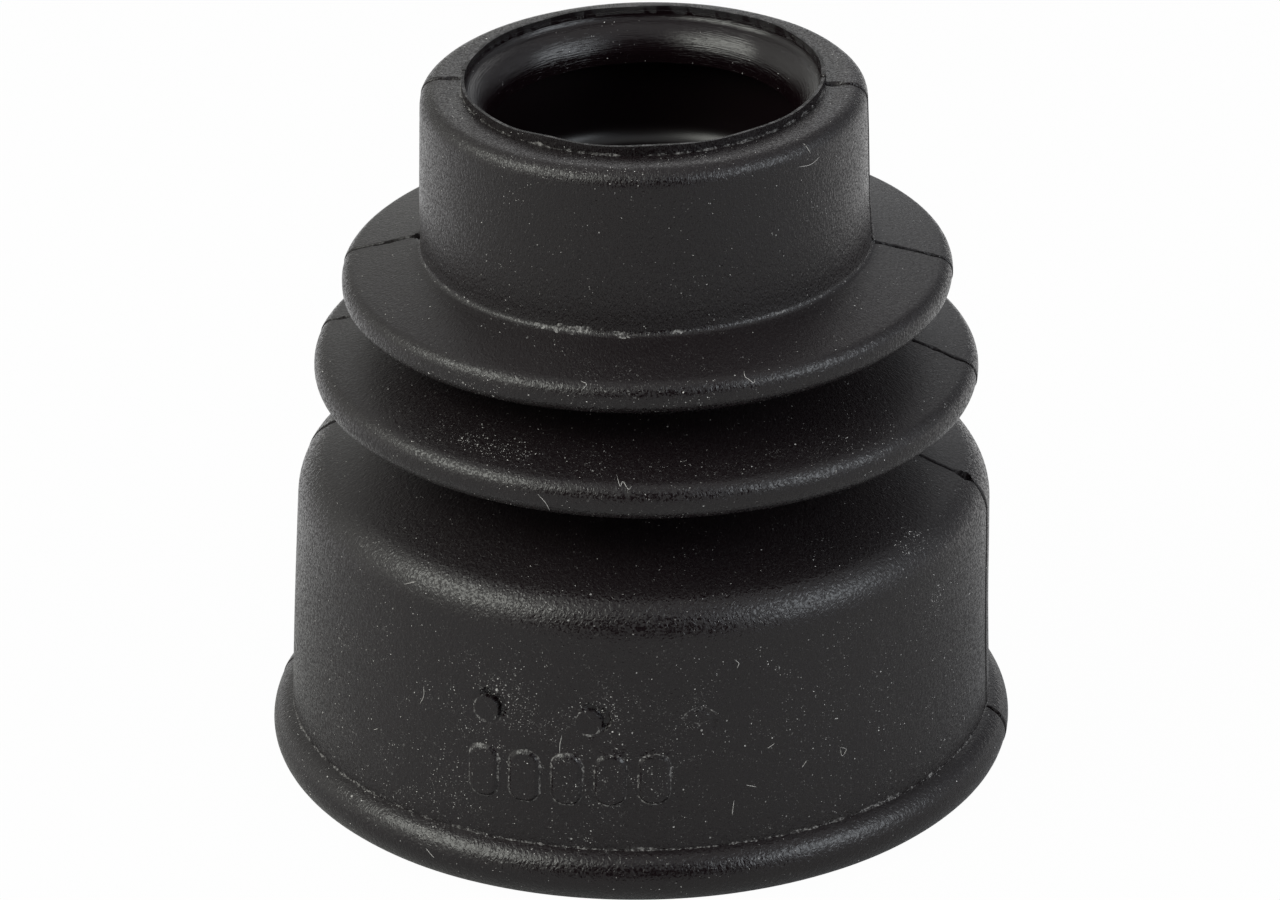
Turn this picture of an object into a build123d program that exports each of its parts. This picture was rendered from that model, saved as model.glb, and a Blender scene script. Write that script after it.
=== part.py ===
"""Rubber bellows boot for a drive shaft, moulded in one piece.

The boot stands on its large end, with +Z along its axis and its origin at the centre of
the circle that it stands on. The outer mould halves part along the XZ plane, and the half
that faces -Y carries the moulding marks. Lengths are in millimetres, angles in degrees.
"""
import os
from dataclasses import dataclass
from math import cos, hypot, radians, sin, tan

from build123d import *

# Skirt: the large end, which fits over a flange and stands on a round bead
bore_radius = 35.0
bore_edge_chamfer = 0.5
skirt_foot_wall = 2.93
skirt_top_wall = 2.03
skirt_height = 33.0
bead_overhang = 2.07
bead_rounding = 3.05

# Shoulder: the sloping wall between the skirt and the lowest groove
shoulder_rise = 5.05
shoulder_wall = 2.2
shoulder_rounding = 5.0
shoulder_inner_rounding = 2.8

# Bellows: thin walls that zigzag between two crests and the grooves beside them
bellows_wall = 1.8
root_radius = 23.8
groove_width = 1.65
groove_rounding = 0.8
inner_root_rounding = 1.6
rim_depth = 2.9
least_cavity = 0.6
lower_crest_radius = 35.37
lower_rim_width = 3.25
lower_rim_rounding = 2.0
lower_flank_rise = 3.5
upper_crest_radius = 32.36
upper_rim_width = 3.0
upper_rim_rounding = 1.7
upper_flank_rise = 2.12

# Collar: the small end, with an inner seat for a ring and a ledge under the seat
collar_foot_radius = 23.9
collar_top_radius = 23.45
collar_edge_rounding = 1.9
crease_rounding = 0.7
ledge_radius = 15.0
ledge_thickness = 2.23
seat_radius = 19.6
seat_length = 10.97
seat_rounding = 2.6

# Mouth: a round roll that falls and narrows to the throat, inside a thin upstanding lip
mouth_radius = 18.75
mouth_step = 0.4
mouth_rounding = 0.9
throat_radius = 16.1
throat_rounding = 4.1
roll_thickness = 4.1
roll_fall = 1.07
lip_height = 0.85
lip_thickness = 0.35

# Notches where the parting line crosses the rim
notch_length = 3.2
notch_width = 0.6
notch_depth = 0.5

# Moulding marks on the skirt: round pin marks over a row of plain raised pads
pin_radius = 2.0
pin_height = 20.8
pin_depths = (0.35, 0.3, 0.15)
pin_pitch = 17.2
pin_centre = 1.7
pad_count = 5
pad_width = 3.4
pad_length = 5.9
pad_rounding = 1.5
pad_relief = 0.35
pad_height = 13.9
pad_pitch = 7.0
pad_centre = -2.2
pad_row_slant = 0.2


@dataclass
class Fold:
    """One fold of the bellows, symmetric about its middle plane.

    Its flanks run from the root radius, at foot and head, out to the rim.
    """

    crest_radius: float
    rim_width: float
    rim_rounding: float
    flank_rise: float
    foot: float

    def __post_init__(self):
        self.rim_low = self.foot + self.flank_rise
        self.rim_high = self.rim_low + self.rim_width
        self.head = self.rim_high + self.flank_rise
        self.middle = (self.foot + self.head) / 2
        self.slope = self.flank_rise / (self.crest_radius - root_radius)

    def half_cavity(self, radius):
        """Half the height of the hollow between the flanks at a radius."""
        half_outside = self.rim_width / 2 + self.slope * (self.crest_radius - radius)
        return half_outside - bellows_wall * hypot(1, self.slope)

    def cavity_corners(self):
        """The rim end of the hollow, which never narrows to a knife edge."""
        end_radius = self.crest_radius - rim_depth
        shortfall = max(0, least_cavity / 2 - self.half_cavity(end_radius))
        end_radius -= shortfall / self.slope
        half_end = self.half_cavity(end_radius)
        yield end_radius, self.middle - half_end, 0
        yield end_radius, self.middle + half_end, 0


# Radii, outward from the bore
skirt_foot_radius = bore_radius + skirt_foot_wall
skirt_top_radius = bore_radius + skirt_top_wall
bead_middle_radius = skirt_foot_radius + bead_overhang - bead_rounding
inner_root_radius = root_radius - bellows_wall
lip_radius = mouth_radius + lip_thickness

# Heights, stacked from the skirt up
shoulder_top = skirt_height + shoulder_rise
lower_fold = Fold(
    lower_crest_radius, lower_rim_width, lower_rim_rounding, lower_flank_rise,
    foot=shoulder_top + groove_width,
)
upper_fold = Fold(
    upper_crest_radius, upper_rim_width, upper_rim_rounding, upper_flank_rise,
    foot=lower_fold.head + groove_width,
)
ledge_underside = upper_fold.middle + upper_fold.half_cavity(ledge_radius)
seat_floor = ledge_underside + ledge_thickness
seat_top = seat_floor + seat_length
roll_top = seat_top + roll_thickness
rim_height = roll_top + mouth_step


def shoulder_underside(radius):
    """Height of the shoulder's inner face at a radius."""
    slope = shoulder_rise / (skirt_top_radius - root_radius)
    outside = skirt_height + slope * (skirt_top_radius - radius)
    return outside - shoulder_wall * hypot(1, slope)


def outer_corners():
    """Outside of the section, from the lip down to the bead: radius, height, rounding."""
    yield mouth_radius, rim_height + lip_height, 0
    yield lip_radius, rim_height + lip_height, 0
    yield lip_radius, rim_height, 0
    yield collar_top_radius, rim_height, collar_edge_rounding
    yield collar_foot_radius, upper_fold.head, crease_rounding
    for fold, next_head in ((upper_fold, lower_fold.head), (lower_fold, shoulder_top)):
        yield fold.crest_radius, fold.rim_high, fold.rim_rounding
        yield fold.crest_radius, fold.rim_low, fold.rim_rounding
        yield root_radius, fold.foot, groove_rounding
        yield root_radius, next_head, groove_rounding
    yield skirt_top_radius, skirt_height, shoulder_rounding
    yield skirt_foot_radius, bead_rounding, 0
    yield bead_middle_radius, bead_rounding, 0
    yield bead_middle_radius, 0, 0


def inner_corners():
    """Inside of the section, from the bore's edge up to the mouth: radius, height, rounding."""
    yield bore_radius + bore_edge_chamfer, 0, 0
    yield bore_radius, bore_edge_chamfer, 0
    yield bore_radius, shoulder_underside(bore_radius), shoulder_inner_rounding
    yield inner_root_radius, shoulder_underside(inner_root_radius), inner_root_rounding
    for fold in (lower_fold, upper_fold):
        root_half = fold.half_cavity(inner_root_radius)
        yield inner_root_radius, fold.middle - root_half, inner_root_rounding
        yield from fold.cavity_corners()
        if fold is lower_fold:
            yield inner_root_radius, fold.middle + root_half, inner_root_rounding
    yield ledge_radius, ledge_underside, 0
    yield ledge_radius, seat_floor, 0
    yield seat_radius, seat_floor, seat_rounding
    yield seat_radius, seat_top, 0
    yield throat_radius, seat_top, 0
    yield throat_radius, roll_top - roll_fall, throat_rounding
    yield mouth_radius, roll_top, mouth_rounding


def fitted_roundings(points, roundings):
    """The roundings, each cut back where two of them would meet on the side they share."""
    usable_share = 0.97
    smallest = 1e-9
    count = len(points)
    sides = [points[i] - points[i - 1] for i in range(count)]
    turns = [radians(sides[i].get_angle(sides[(i + 1) % count])) for i in range(count)]
    reaches = [rounding * tan(turn / 2) for rounding, turn in zip(roundings, turns)]
    fitted = []
    for i, rounding in enumerate(roundings):
        after = (i + 1) % count
        room_before = sides[i].length / max(reaches[i] + reaches[i - 1], smallest)
        room_after = sides[after].length / max(reaches[i] + reaches[after], smallest)
        fitted.append(rounding * min(1, usable_share * room_before, usable_share * room_after))
    return fitted


def make_section():
    """Half section of the boot, in the XZ plane at positive X."""
    corners = [*outer_corners(), *inner_corners()]
    points = [Vector(radius, height) for radius, height, _ in corners]
    roundings = fitted_roundings(points, [rounding for *_, rounding in corners])
    wall = make_face(FilletPolyline(*points, radius=roundings, close=True))
    bead = Pos(bead_middle_radius, bead_rounding) * Circle(bead_rounding)
    inner_half = Rectangle(bead_rounding, 2 * bead_rounding, align=(Align.MAX, Align.CENTER))
    bead -= Pos(bead_middle_radius, bead_rounding) * inner_half
    return Plane.XZ * (wall + bead)


def skirt_plane(azimuth, height):
    """A plane on the skirt's outside, facing out; azimuth 0 is -Y, and +90 is +X."""
    share = (height - bead_rounding) / (skirt_height - bead_rounding)
    radius = skirt_foot_radius + share * (skirt_top_radius - skirt_foot_radius)
    turn = radians(azimuth)
    outward = Vector(sin(turn), -cos(turn), 0)
    sideways = Vector(cos(turn), sin(turn), 0)
    return Plane(origin=outward * radius + Vector(0, 0, height), x_dir=sideways, z_dir=outward)


def make_pin_marks():
    """The round recesses that mould pins left, less and less deep along the row."""
    for index, depth in enumerate(pin_depths):
        azimuth = pin_centre + (index - (len(pin_depths) - 1) / 2) * pin_pitch
        pin = Cylinder(pin_radius, 2 * depth)
        yield skirt_plane(azimuth, pin_height) * pin


def make_pads():
    """A row of plain raised pads, climbing a little from left to right."""
    pad_outline = RectangleRounded(pad_width, pad_length, pad_rounding)
    for index in range(pad_count):
        step = index - (pad_count - 1) / 2
        plane = skirt_plane(pad_centre + step * pad_pitch, pad_height + step * pad_row_slant)
        yield plane * extrude(pad_outline, pad_relief, both=True)


def make_notches():
    """Two wedges cut in the rim, widest at the lip, on the parting line."""
    tip = Vector(lip_radius + notch_length, 0)
    wedge = make_face(Polyline(
        (lip_radius, notch_width / 2), tip, (lip_radius, -notch_width / 2), close=True
    ))
    notch = Pos(Z=rim_height) * extrude(wedge, notch_depth, both=True)
    return notch, Rot(Z=180) * notch


def make_boot():
    boot = revolve(make_section(), Axis.Z)
    boot += list(make_pads())
    boot -= list(make_pin_marks())
    boot -= list(make_notches())
    return boot


os.makedirs("parts", exist_ok=True)
bellows_boot = make_boot()
bellows_boot.label = "bellows_boot"
export_step(bellows_boot, "parts/bellows_boot.step")
print("height", round(bellows_boot.bounding_box().size.Z, 3))
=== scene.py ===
"""Looks of the rubber bellows boot: one moulded skin with dust and lint, in a white studio.

Sizes are in millimetres and azimuths in degrees unless a name says otherwise: azimuth 0 faces
-Y and 90 faces +X, as in the part's source. The skin is built on a grid of azimuth by place
along the section, then bent, marked and moved to metres.
"""
from math import atan2, ceil, cos, hypot, pi, radians, sin, sqrt, tan

import bmesh
import bpy
import numpy as np
from mathutils import Matrix, Vector


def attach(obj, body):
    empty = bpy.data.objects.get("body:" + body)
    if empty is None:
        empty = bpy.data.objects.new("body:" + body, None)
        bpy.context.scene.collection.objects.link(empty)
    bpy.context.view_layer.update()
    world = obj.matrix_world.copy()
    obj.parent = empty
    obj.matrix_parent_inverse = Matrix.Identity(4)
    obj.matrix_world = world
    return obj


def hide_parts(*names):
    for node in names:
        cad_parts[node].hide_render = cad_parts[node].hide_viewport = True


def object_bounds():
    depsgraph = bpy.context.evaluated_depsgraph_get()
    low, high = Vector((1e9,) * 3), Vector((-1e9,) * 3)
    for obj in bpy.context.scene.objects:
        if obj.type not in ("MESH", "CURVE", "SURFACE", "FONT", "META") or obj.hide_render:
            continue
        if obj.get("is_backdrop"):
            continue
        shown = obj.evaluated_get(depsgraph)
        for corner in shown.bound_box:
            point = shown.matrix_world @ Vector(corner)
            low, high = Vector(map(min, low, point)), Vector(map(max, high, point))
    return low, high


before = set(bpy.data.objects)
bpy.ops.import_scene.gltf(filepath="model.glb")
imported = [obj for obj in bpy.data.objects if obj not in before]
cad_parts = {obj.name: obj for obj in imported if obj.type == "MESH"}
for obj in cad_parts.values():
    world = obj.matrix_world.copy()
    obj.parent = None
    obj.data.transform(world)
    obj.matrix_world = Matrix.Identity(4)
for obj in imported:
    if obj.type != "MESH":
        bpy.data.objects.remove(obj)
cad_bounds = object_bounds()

MM = 0.001

# Skirt: the large end, which fits over a flange and stands on a round bead
bore_radius = 35.0
bore_edge_chamfer = 0.5
skirt_foot_wall = 2.93
skirt_top_wall = 2.03
skirt_height = 33.0
bead_overhang = 2.07
bead_rounding = 3.05

# Shoulder: the sloping wall between the skirt and the lowest groove
shoulder_rise = 5.05
shoulder_wall = 2.2
shoulder_rounding = 5.0
shoulder_inner_rounding = 2.8

# Bellows: thin walls that zigzag between two crests and the grooves beside them
bellows_wall = 1.8
root_radius = 23.8
groove_width = 1.65
groove_rounding = 0.8
inner_root_rounding = 1.6
rim_depth = 2.9
least_cavity = 0.6
lower_crest_radius = 35.37
lower_rim_width = 3.25
lower_rim_rounding = 2.0
lower_flank_rise = 3.5
upper_crest_radius = 32.36
upper_rim_width = 3.0
upper_rim_rounding = 1.7
upper_flank_rise = 2.12

# Collar: the small end, with an inner seat for a ring and a ledge under the seat
collar_foot_radius = 23.9
collar_top_radius = 23.45
collar_edge_rounding = 1.9
crease_rounding = 0.7
ledge_radius = 15.0
ledge_thickness = 2.23
seat_radius = 19.6
seat_length = 10.97
seat_rounding = 2.6

# Mouth: a round roll that falls and narrows to the throat, inside a thin upstanding lip
mouth_radius = 18.75
mouth_step = 0.4
mouth_rounding = 0.9
throat_radius = 16.1
throat_rounding = 4.1
roll_thickness = 4.1
roll_fall = 1.07
lip_height = 0.85
lip_thickness = 0.35

# Moulding marks on one band of the skirt: round pin marks over a row of plain raised pads
marked_low, marked_high = 8.0, 27.0
pin_radius = 2.0
pin_height = 20.8
pin_depths = (0.35, 0.3, 0.15)
pin_pitch = 17.2
pin_centre = 1.7
pad_count = 5
pad_width = 3.4
pad_length = 5.9
pad_rounding = 1.5
pad_relief = 0.35
pad_height = 13.9
pad_pitch = 7.0
pad_centre = -2.2
pad_row_slant = 0.2

# Camera: where it stands, as the photograph was taken
camera_azimuth = 10.0
camera_elevation = 25.902
camera_distance = 800.0
camera_roll = -0.626
camera_target_right = 0.208
camera_target_height = 34.058
focal_length_pixels = 7453.6
photo_width_pixels = 1280
sensor_width = 36.0


class Fold:
    """One fold of the bellows, symmetric about its middle plane, as in the part's source."""

    def __init__(self, crest_radius, rim_width, rim_rounding, flank_rise, foot):
        self.crest_radius = crest_radius
        self.rim_width = rim_width
        self.rim_rounding = rim_rounding
        self.foot = foot
        self.rim_low = foot + flank_rise
        self.rim_high = self.rim_low + rim_width
        self.head = self.rim_high + flank_rise
        self.middle = (self.foot + self.head) / 2
        self.slope = flank_rise / (crest_radius - root_radius)

    def half_cavity(self, radius):
        """Half the height of the hollow between the flanks at a radius."""
        half_outside = self.rim_width / 2 + self.slope * (self.crest_radius - radius)
        return half_outside - bellows_wall * hypot(1, self.slope)

    def cavity_corners(self):
        """The rim end of the hollow, which never narrows to a knife edge."""
        end_radius = self.crest_radius - rim_depth
        shortfall = max(0, least_cavity / 2 - self.half_cavity(end_radius))
        end_radius -= shortfall / self.slope
        half_end = self.half_cavity(end_radius)
        yield end_radius, self.middle - half_end, 0
        yield end_radius, self.middle + half_end, 0


# Radii, outward from the bore
skirt_foot_radius = bore_radius + skirt_foot_wall
skirt_top_radius = bore_radius + skirt_top_wall
bead_middle_radius = skirt_foot_radius + bead_overhang - bead_rounding
inner_root_radius = root_radius - bellows_wall
lip_radius = mouth_radius + lip_thickness

# Heights, stacked from the skirt up
shoulder_top = skirt_height + shoulder_rise
lower_fold = Fold(
    lower_crest_radius, lower_rim_width, lower_rim_rounding, lower_flank_rise,
    foot=shoulder_top + groove_width,
)
upper_fold = Fold(
    upper_crest_radius, upper_rim_width, upper_rim_rounding, upper_flank_rise,
    foot=lower_fold.head + groove_width,
)
ledge_underside = upper_fold.middle + upper_fold.half_cavity(ledge_radius)
seat_floor = ledge_underside + ledge_thickness
seat_top = seat_floor + seat_length
roll_top = seat_top + roll_thickness
rim_height = roll_top + mouth_step


# -------- section

def shoulder_underside(radius):
    """Height of the shoulder's inner face at a radius."""
    slope = shoulder_rise / (skirt_top_radius - root_radius)
    outside = skirt_height + slope * (skirt_top_radius - radius)
    return outside - shoulder_wall * hypot(1, slope)


def skirt_radius(height):
    """Outer radius of the skirt at a height."""
    share = (height - bead_rounding) / (skirt_height - bead_rounding)
    return skirt_foot_radius + share * (skirt_top_radius - skirt_foot_radius)


def bead_crease():
    """Where the skirt runs into the bead: radius, height, and its direction from the middle."""
    lean = (skirt_foot_radius - skirt_top_radius) / (skirt_height - bead_rounding)
    offset = skirt_foot_radius - bead_middle_radius
    square = 1 + lean ** 2
    rise = (offset * lean + sqrt(square * bead_rounding ** 2 - offset ** 2)) / square
    height = bead_rounding + rise
    return skirt_radius(height), height, atan2(rise, offset - lean * rise)


def outer_corners():
    """Outside of the section, from the lip down to the bead: radius, height, rounding."""
    yield mouth_radius, rim_height + lip_height, 0
    yield lip_radius, rim_height + lip_height, 0
    yield lip_radius, rim_height, 0
    yield collar_top_radius, rim_height, collar_edge_rounding
    yield collar_foot_radius, upper_fold.head, crease_rounding
    for fold, next_head in ((upper_fold, lower_fold.head), (lower_fold, shoulder_top)):
        yield fold.crest_radius, fold.rim_high, fold.rim_rounding
        yield fold.crest_radius, fold.rim_low, fold.rim_rounding
        yield root_radius, fold.foot, groove_rounding
        yield root_radius, next_head, groove_rounding
    yield skirt_top_radius, skirt_height, shoulder_rounding
    crease_radius, crease_height, start = bead_crease()
    yield crease_radius, crease_height, 0
    arc_steps = 22
    for index in range(1, arc_steps + 1):
        turn = start - (start + pi / 2) * index / arc_steps
        yield (
            bead_middle_radius + bead_rounding * cos(turn),
            bead_rounding + bead_rounding * sin(turn), 0,
        )


def inner_corners():
    """Inside of the section, from the bore's edge up to the mouth: radius, height, rounding."""
    yield bore_radius + bore_edge_chamfer, 0, 0
    yield bore_radius, bore_edge_chamfer, 0
    yield bore_radius, shoulder_underside(bore_radius), shoulder_inner_rounding
    yield inner_root_radius, shoulder_underside(inner_root_radius), inner_root_rounding
    for fold in (lower_fold, upper_fold):
        root_half = fold.half_cavity(inner_root_radius)
        yield inner_root_radius, fold.middle - root_half, inner_root_rounding
        yield from fold.cavity_corners()
        if fold is lower_fold:
            yield inner_root_radius, fold.middle + root_half, inner_root_rounding
    yield ledge_radius, ledge_underside, 0
    yield ledge_radius, seat_floor, 0
    yield seat_radius, seat_floor, seat_rounding
    yield seat_radius, seat_top, 0
    yield throat_radius, seat_top, 0
    yield throat_radius, roll_top - roll_fall, throat_rounding
    yield mouth_radius, roll_top, mouth_rounding


def fitted_roundings(spots, roundings):
    """The roundings, each cut back where two of them would meet on the side they share."""
    usable_share, smallest = 0.97, 1e-9
    count = len(spots)
    sides = [spots[i] - spots[i - 1] for i in range(count)]
    turns = [sides[i].angle(sides[(i + 1) % count]) for i in range(count)]
    reaches = [rounding * tan(turn / 2) for rounding, turn in zip(roundings, turns)]
    fitted = []
    for i, rounding in enumerate(roundings):
        after = (i + 1) % count
        room_before = sides[i].length / max(reaches[i] + reaches[i - 1], smallest)
        room_after = sides[after].length / max(reaches[i] + reaches[after], smallest)
        fitted.append(rounding * min(1, usable_share * room_before, usable_share * room_after))
    return fitted


def rounded_corner(before, corner, after, rounding, arc_step):
    """A corner as points: itself, or an arc tangent to its two sides."""
    fewest_steps = 3
    if not rounding:
        return [corner]
    back = (before - corner).normalized()
    ahead = (after - corner).normalized()
    half_angle = back.angle(ahead) / 2
    reach = rounding / tan(half_angle)
    centre = corner + (back + ahead).normalized() * rounding / sin(half_angle)
    start = corner + back * reach - centre
    sweep = start.angle_signed(corner + ahead * reach - centre)
    steps = max(fewest_steps, ceil(abs(sweep) * rounding / arc_step))
    return [centre + Matrix.Rotation(-sweep * i / steps, 2) @ start for i in range(steps + 1)]


def divided(points, longest):
    """A run of points, with its long sides divided evenly."""
    run = [points[0]]
    for point in points[1:]:
        parts = ceil((point - run[-1]).length / longest)
        run += [run[-1].lerp(point, k / parts) for k in range(1, parts + 1)]
    return run


def section_points():
    """The section's points round the loop, and how many of them are outside."""
    outer_side, outer_arc_step, inner_side, inner_arc_step = 1.1, 0.33, 2.5, 0.45
    outer, inner = list(outer_corners()), list(inner_corners())
    corners = outer + inner
    spots = [Vector(corner[:2]) for corner in corners]
    roundings = fitted_roundings(spots, [rounding for *_, rounding in corners])

    def run(indices, longest, arc_step):
        points = []
        for i in indices:
            before, after = spots[i - 1], spots[(i + 1) % len(spots)]
            points += rounded_corner(before, spots[i], after, roundings[i], arc_step)
        return divided(points, longest)

    outside = run(range(len(outer)), outer_side, outer_arc_step)
    inside = run(range(len(outer), len(corners)), inner_side, inner_arc_step)
    return np.array(outside + inside), len(outside)


class Section:
    """The closed section as rows: radius, height, normal, way along it, and what is outside."""

    def __init__(self):
        loop, outside_count = section_points()
        self.count = len(loop)
        self.rows = np.arange(self.count + 1)
        ahead = np.roll(loop, -1, axis=0) - loop
        lengths = np.linalg.norm(ahead, axis=1)
        ahead /= lengths[:, None]
        along = ahead + np.roll(ahead, 1, axis=0)
        along /= np.linalg.norm(along, axis=1)[:, None]
        outside = np.arange(self.count) < outside_count
        table = np.column_stack([loop, -along[:, 1], along[:, 0], outside])
        closed = np.vstack([table, table[0]]).T
        self.radius, self.height, self.normal_out, self.normal_up, self.outside = closed
        self.along = np.append(0, np.cumsum(lengths))

    def at(self, row, *names):
        """The named values of the rows, read at whole and fractional rows."""
        return [np.interp(row, self.rows, getattr(self, name)) for name in names]


section = Section()


def smooth_step(low, high, value):
    """0 up to the low limit and 1 from the high one, with a smooth rise between them."""
    share = np.clip((value - low) / (high - low), 0, 1)
    return share * share * (3 - 2 * share)


def bump_at(value, middle, reach):
    """1 at the middle, falling off smoothly on both sides."""
    return np.exp(-((value - middle) / reach) ** 2)


# -------- grid

column_step = 2.0
grid_slack = 1e-6

# Parting lines, by side: -1 is the one on the camera's left, and 1 the one on its right
seam_azimuths = {-1: -91.3, 1: 90.3}
seam_seeds = {-1: 3, 1: 8}
seam_offsets = (0, 0.07, 0.15, 0.24, 0.35, 0.5, 0.7, 1.0, 1.4)


def column_azimuths():
    """Even columns all round, with a fine set across each parting line."""
    even = {i * column_step - 180 for i in range(round(360 / column_step) + 1)}
    fine = {
        seam + side * offset
        for seam in seam_azimuths.values() for side in (-1, 1) for offset in seam_offsets
    }
    return np.array(sorted(even | fine))


def grid_mesh(azimuths):
    """A flat grid whose x is the azimuth and whose y is the row."""
    columns, rows = len(azimuths), section.count + 1
    x, y = np.meshgrid(azimuths, np.arange(rows))
    verts = np.column_stack([x.ravel(), y.ravel(), np.zeros(x.size)])
    first = (np.arange(rows - 1)[:, None] * columns + np.arange(columns - 1)).ravel()
    faces = np.column_stack([first, first + 1, first + columns + 1, first + columns])
    mesh = bpy.data.meshes.new("boot_skin")
    mesh.from_pydata(verts.tolist(), [], faces.tolist())
    return mesh


def refine(grid, azimuths, rows, cuts, lengthwise_only=False):
    """Divides the grid's edges in one patch, so that it can carry fine relief."""
    def in_patch(vertex):
        return all(
            low - grid_slack <= value <= high + grid_slack
            for value, (low, high) in zip(vertex.co, (azimuths, rows))
        )

    def wanted(edge):
        first, second = edge.verts
        lengthwise = abs(first.co.x - second.co.x) < grid_slack
        return in_patch(first) and in_patch(second) and (lengthwise or not lengthwise_only)

    edges = [edge for edge in grid.edges if wanted(edge)]
    bmesh.ops.subdivide_edges(grid, edges=edges, cuts=cuts, use_grid_fill=True)


def outside_rows(low, high):
    """First and last row of the outside between two heights."""
    inside_band = (section.height >= low) & (section.height <= high)
    rows = np.flatnonzero(inside_band[:-1] & (section.outside[:-1] > 0))
    return rows[0], rows[-1]


def refined_grid():
    """The grid, with fine patches over the moulding marks and along the parting lines."""
    mark_heights, mark_azimuths = ((10.0, 17.6), (17.9, 23.8)), (-22, 26)
    mark_cuts, seam_cuts, seam_reach = 7, 2, seam_offsets[-1]
    mesh = grid_mesh(column_azimuths())
    grid = bmesh.new()
    grid.from_mesh(mesh)
    for heights in mark_heights:
        refine(grid, mark_azimuths, outside_rows(*heights), mark_cuts)
    for seam in seam_azimuths.values():
        azimuths = (seam - seam_reach, seam + seam_reach)
        refine(grid, azimuths, outside_rows(0, rim_height), seam_cuts, lengthwise_only=True)
    grid.to_mesh(mesh)
    grid.free()
    return mesh


# -------- objects

def added_object(name, data):
    """A new object in the scene that shows a mesh, a lamp or a camera."""
    made = bpy.data.objects.new(name, data)
    bpy.context.scene.collection.objects.link(made)
    return made


def added_shape(name, shape, material):
    """A new object in the scene of an edit mesh, which is used up, and a material."""
    mesh = bpy.data.meshes.new(name)
    shape.to_mesh(mesh)
    shape.free()
    mesh.materials.append(material)
    return added_object(name, mesh)


# -------- noise

def lattice_noise(x, y, seed):
    """Smooth noise from -1 to 1 on a unit lattice, the same in every run."""
    column_mix, row_mix, seed_mix, spread = 127.1, 311.7, 74.7, 43758.5453

    def corner(column, row):
        mixed = np.sin(column * column_mix + row * row_mix + seed * seed_mix) * spread
        return 2 * (mixed - np.floor(mixed)) - 1

    column, row = np.floor(x), np.floor(y)
    across, up = smooth_step(0, 1, x - column), smooth_step(0, 1, y - row)
    low = corner(column, row) * (1 - across) + corner(column + 1, row) * across
    high = corner(column, row + 1) * (1 - across) + corner(column + 1, row + 1) * across
    return low * (1 - up) + high * up


# -------- relief on the skirt

# Pin marks deeper than this are torn open on one side
least_torn_depth = 0.2

# Farther than this from a line, the masks don't tell places apart
farthest = 9.0


def on_marked_band(height):
    return (height > marked_low) & (height < marked_high)


def pin_places(azimuth, height):
    """Each pin mark's depth, and where the points lie from its middle, sideways and up."""
    for index, depth in enumerate(pin_depths):
        middle = pin_centre + (index - (len(pin_depths) - 1) / 2) * pin_pitch
        yield depth, np.radians(azimuth - middle) * skirt_radius(pin_height), height - pin_height


def opening_share(across, up):
    """1 on the side of a pin mark that tore open, its upper right, and 0 on the other."""
    closed, wide_open, least_reach, torn_turn = -0.15, 0.55, 0.01, radians(42)
    toward_it = across * cos(torn_turn) + up * sin(torn_turn)
    toward_it /= np.hypot(across, up).clip(least_reach)
    return smooth_step(closed, wide_open, toward_it)


def spot_distance(across, up):
    """How far points lie outside a pin mark's smooth round spot."""
    spot_radius, shift_out, shift_down = 1.4, 0.36, 0.28
    return np.hypot(across + shift_out, up + shift_down) - spot_radius


def pin_relief(azimuth, height):
    """The pin marks: a smooth round spot each, with a torn trench on its upper right."""
    edge_width, inset, trench_gain, closed_share = 0.14, 0.1, 5.0, 0.1
    ragged_reach, ragged_length, ragged_shift, seed = 0.3, 0.4, 9, 4
    relief = np.zeros_like(azimuth)
    for depth, across, up in pin_places(azimuth, height):
        ragged = ragged_reach * lattice_noise(
            across / ragged_length + ragged_shift * depth, up / ragged_length, seed,
        )
        opening = opening_share(across, up)
        within = pin_radius - inset + ragged * opening - np.hypot(across, up)
        trench = smooth_step(0, edge_width, within)
        trench *= smooth_step(0, edge_width, spot_distance(across, up))
        relief -= trench * depth ** 2 * trench_gain * np.maximum(opening, closed_share)
    return relief


def pad_distance(azimuth, height):
    """How far points lie outside the outline of the nearest pad; negative inside it."""
    nearest = np.full_like(azimuth, farthest)
    for index in range(pad_count):
        step = index - (pad_count - 1) / 2
        middle = pad_centre + step * pad_pitch
        across = np.abs(np.radians(azimuth - middle) * skirt_radius(pad_height))
        up = np.abs(height - pad_height - step * pad_row_slant)
        beyond_x = across - pad_width / 2 + pad_rounding
        beyond_y = up - pad_length / 2 + pad_rounding
        outside = np.hypot(np.clip(beyond_x, 0, None), np.clip(beyond_y, 0, None))
        distance = outside + np.minimum(np.maximum(beyond_x, beyond_y), 0) - pad_rounding
        nearest = np.minimum(nearest, distance)
    return nearest


def pad_relief_at(azimuth, height):
    """The row of plain raised pads, whose sides slope a little."""
    side_width = 0.34
    return pad_relief * np.clip(-pad_distance(azimuth, height) / side_width, 0, 1)


def glint_and_dust_outline_distance(azimuth, height):
    """Distance from the nearest outline along which a pale line is drawn: a pad's, where it is dust
    and a painted glint of the edge, or one side of a pin mark, where it is dust on a faint mark and
    a painted highlight on a torn mark's spot.
    """
    clean_side, faint_drop, dusty_from, clean_from = 2, 0.5, 0.3, -0.5
    nearest = pad_distance(azimuth, height)
    for depth, across, up in pin_places(azimuth, height):
        if depth > least_torn_depth:
            # On a torn mark the line follows the spot's rim on its closed lower left side: a
            # painted highlight.
            distance = spot_distance(across, up) + clean_side * opening_share(across, up)
        else:
            distance = np.hypot(across, up + faint_drop) - pin_radius
            distance += clean_side * smooth_step(dusty_from, clean_from, up)
        nearest = np.where(np.abs(distance) < np.abs(nearest), distance, nearest)
    return np.where(on_marked_band(height), nearest, farthest)


# -------- parting line

notch_length = 3.2
notch_width = 0.6
notch_depth = 0.5

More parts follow.
